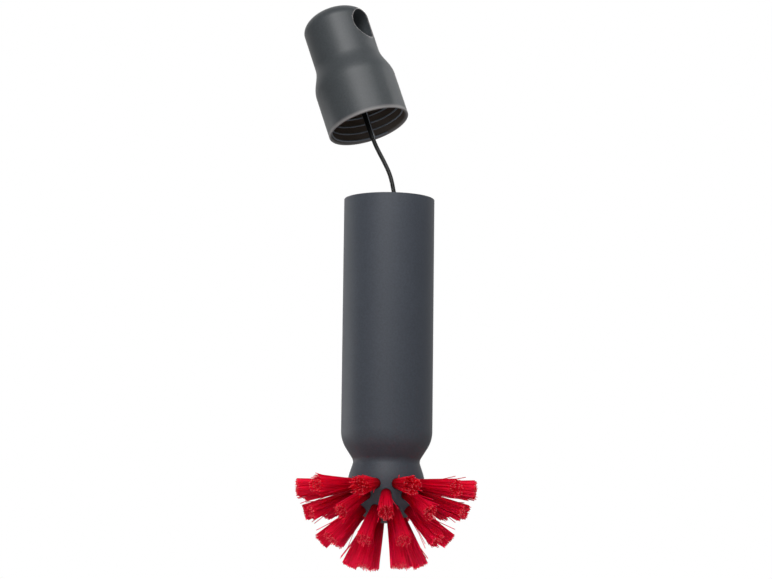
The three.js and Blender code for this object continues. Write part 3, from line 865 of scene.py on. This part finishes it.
straw = {
    "axis": (-0.2225, 0, 0.9749), "gap": 0.3, "lap": 0.5,
    "sleeveRadius": 1.9, "sleeveLength": 6.5, "sleeveSides": 40, "chamfer": 0.3, "topRound": 0.4,
    "crimps": (0.3, 0.6),  # two grooves, at these shares of its length
    "crimpDepth": 0.25, "crimpWidth": 1, "crimpFloor": 0.5,
    "radius": 5, "length": 34, "bristles": 900, "bristleRadius": 0.11, "bristleSides": 4,
    "wireRadius": 0.55, "wireSides": 12, "turns": 9.0, "wobble": 0.06, "seed": 5,  # the wobble is in turns
}
strawPlace = Matrix.Translation(stem["route"][-1]) @ turnTo(Vector(straw["axis"]))


def strawSleeve():
    s = straw
    radius, groove = s["sleeveRadius"], s["sleeveRadius"] - s["crimpDepth"]
    top, foot = s["lap"] - s["gap"], -s["gap"] - s["sleeveLength"] - s["lap"]
    outline = [(0, foot), (radius - s["chamfer"], foot), (radius, foot + s["chamfer"])]
    for share in s["crimps"]:
        middle = foot + s["sleeveLength"] * share
        outline += [(radius, middle - s["crimpWidth"] / 2), (groove, middle - s["crimpFloor"] / 2)]
        outline += [(groove, middle + s["crimpFloor"] / 2), (radius, middle + s["crimpWidth"] / 2)]
    outline += arc((radius - s["topRound"], top - s["topRound"]), s["topRound"], 0, 90, 4) + [(0, top)]
    return lathe("strawSleeve", outline, s["sleeveSides"], strawPlace)


def strawTree(name, material):
    tree, given = startTree(name, {
        "Bristles": "Int", "Length": "Float", "Reach": "Float", "Turns": "Float", "Radius": "Float",
        "Wire": "Float", "Seed": "Int"})
    # bristles wound up the core, in two rows opposite each other
    index = addNode(tree, "GeometryNodeInputIndex")[0]
    share = addNode(tree, "ShaderNodeMath", {0: index, 1: given["Bristles"]}, operation="DIVIDE")[0]
    row = addNode(tree, "ShaderNodeMath", {0: index, 1: 2.0}, operation="MODULO")[0]
    winding = addNode(tree, "ShaderNodeMath", {0: share, 1: given["Turns"]}, operation="MULTIPLY")[0]
    opposite = addNode(tree, "ShaderNodeMath", {0: row, 1: 0.5, 2: winding}, operation="MULTIPLY_ADD")[0]
    wobble = addNode(tree, "FunctionNodeRandomValue", {
        2: -straw["wobble"], 3: straw["wobble"], "ID": index, "Seed": given["Seed"]}, data_type="FLOAT")[1]
    loose = addNode(tree, "ShaderNodeMath", {0: opposite, 1: wobble}, operation="ADD")[0]
    angle = addNode(tree, "ShaderNodeMath", {0: loose, 1: 2 * math.pi}, operation="MULTIPLY")[0]
    height = addNode(tree, "ShaderNodeMath", {0: share, 1: given["Length"]}, operation="MULTIPLY")[0]
    low = addNode(tree, "ShaderNodeMath", {0: height, 1: given["Length"]}, operation="SUBTRACT")[0]
    spot = addNode(tree, "ShaderNodeCombineXYZ", {2: low})[0]
    points = addNode(tree, "GeometryNodePoints", {"Count": given["Bristles"], "Position": spot})[0]
    bristle = addNode(tree, "GeometryNodeMeshCone", {
        "Vertices": straw["bristleSides"], "Side Segments": 1, "Radius Top": given["Radius"],
        "Radius Bottom": given["Radius"], "Depth": given["Reach"]})["Mesh"]
    flat = addNode(tree, "ShaderNodeCombineXYZ", {1: math.pi / 2, 2: angle})[0]
    placed = addNode(tree, "GeometryNodeInstanceOnPoints", {
        "Points": points, "Instance": bristle, "Rotation": flat})[0]
    core = addNode(tree, "GeometryNodeMeshCylinder", {
        "Vertices": straw["wireSides"], "Radius": given["Wire"], "Depth": given["Length"]})["Mesh"]
    half = addNode(tree, "ShaderNodeMath", {0: given["Length"], 1: -0.5}, operation="MULTIPLY")[0]
    down = addNode(tree, "ShaderNodeCombineXYZ", {2: half})[0]
    lowered = addNode(tree, "GeometryNodeTransform", {"Geometry": core, "Translation": down})[0]
    both = addNode(tree, "GeometryNodeJoinGeometry", {0: placed})[0]
    tree.links.new(lowered, both.node.inputs[0])
    endTree(tree, both, material)
    return tree


finishPiece(strawSleeve(), ferruleSkin, "straw_tool", ["stem_ferrule"])
strawTop = strawPlace @ Matrix.Translation((0, 0, -(2 * straw["gap"] + straw["sleeveLength"]) * mm))
strawPiece = grow("strawBristles", strawTree("strawBristles", bristleSkin), {
    "Bristles": straw["bristles"], "Length": straw["length"] * mm, "Reach": straw["radius"] * mm,
    "Turns": straw["turns"], "Radius": straw["bristleRadius"] * mm, "Wire": straw["wireRadius"] * mm,
    "Seed": straw["seed"]}, strawTop)
finishPiece(strawPiece, bristleSkin, "straw_tool", ["straw_brush"])
print("straw brush wound")


# studio: a pale floor well under the brush, white surroundings and soft boxes

studio = {
    "floorHeight": -0.17, "floorSize": 12.0, "floorColour": "#eeeeee",
    "front": 0.18, "back": 0.8,  # how bright the room is on the camera's side and behind the brush
    "turnFrom": 0.25, "turnTo": 0.9,  # where it goes from one to the other, as shares of the way to the back
    "lamps": {  # a small spread, in degrees, keeps a lamp's light on one part of the brush
        "frontStrip": {
            "place": (-0.22, -1.03, 0.62), "aim": (0, 0, 0.03),
            "size": (0.45, 0.8), "power": 4.95, "spread": 180},
        "leftBox": {
            "place": (-0.6, 0.3, -0.02), "aim": (0, 0, -0.02),
            "size": (0.36, 0.2), "power": 0.042, "spread": 6},
        "capBox": {
            "place": (0.03, -0.36, 0.42), "aim": (-0.02, 0.01, 0.115),
            "size": (0.46, 0.18), "power": 1.6, "spread": 180},
        "rightBox": {
            "place": (0.42, 0.12, 0.33), "aim": (-0.01, 0, 0.115),
            "size": (0.2, 0.08), "power": 0.0135, "spread": 12},
        "lowBox": {
            "place": (-0.05, -0.5, -0.14), "aim": (0, 0, -0.12),
            "size": (0.3, 0.04), "power": 0.028, "spread": 8},
    },
}


def layFloor():
    size = studio["floorSize"] / 2
    build = bmesh.new()
    corners = [(-size, -size), (size, -size), (size, size), (-size, size)]
    build.faces.new([build.verts.new((x, y, studio["floorHeight"])) for x, y in corners])
    floor = meshObject("studioFloor", build)
    material, tree = startMaterial("paintedFloor")
    shader = addNode(tree, "ShaderNodeBsdfDiffuse", {"Color": linear(studio["floorColour"])})[0]
    addNode(tree, "ShaderNodeOutputMaterial", {"Surface": shader})
    floor.data.materials.append(material)


def lightRoom():
    world = bpy.data.worlds.new("whiteStudio")
    bpy.context.scene.world = world
    world.use_nodes = True
    tree = world.node_tree
    tree.nodes.clear()
    way = addNode(tree, "ShaderNodeTexCoord")["Generated"]
    depth = addNode(tree, "ShaderNodeSeparateXYZ", {"Vector": way})["Y"]
    behind = addNode(tree, "ShaderNodeMapRange", {
        "Value": depth, "From Min": studio["turnFrom"], "From Max": studio["turnTo"]})[0]
    room = addNode(tree, "ShaderNodeMapRange", {
        "Value": behind, "To Min": studio["front"], "To Max": studio["back"]})[0]
    # plain white for the camera, for glass, and for gloss that looks past the brush
    path = addNode(tree, "ShaderNodeLightPath")
    mirrored = addNode(tree, "ShaderNodeMath", {
        0: path["Is Glossy Ray"], 1: behind}, operation="MULTIPLY")[0]
    clear = addNode(tree, "ShaderNodeMath", {
        0: path["Is Camera Ray"], 1: mirrored}, operation="MAXIMUM")[0]
    seen = addNode(tree, "ShaderNodeMath", {
        0: clear, 1: path["Is Transmission Ray"]}, operation="MAXIMUM")[0]
    strength = addNode(tree, "ShaderNodeMix", {"Factor": seen, 2: room, 3: 1.0})[0]
    light = addNode(tree, "ShaderNodeBackground", {"Color": (1, 1, 1, 1), "Strength": strength})[0]
    addNode(tree, "ShaderNodeOutputWorld", {"Surface": light})


def hangLamps():
    for name, lamp in studio["lamps"].items():
        data = bpy.data.lights.new(name, "AREA")
        data.energy = lamp["power"]
        data.shape = "RECTANGLE"
        data.size, data.size_y = lamp["size"]
        data.spread = math.radians(lamp["spread"])
        box = bpy.data.objects.new(name, data)
        box.visible_camera = False
        way = Vector(lamp["aim"]) - Vector(lamp["place"])
        turn = way.to_track_quat("-Z", "Y").to_matrix().to_4x4()
        box.matrix_world = Matrix.Translation(lamp["place"]) @ turn
        bpy.context.scene.collection.objects.link(box)


layFloor()
lightRoom()
hangLamps()
bpy.context.scene.view_settings.view_transform = "Standard"
print("studio lit")
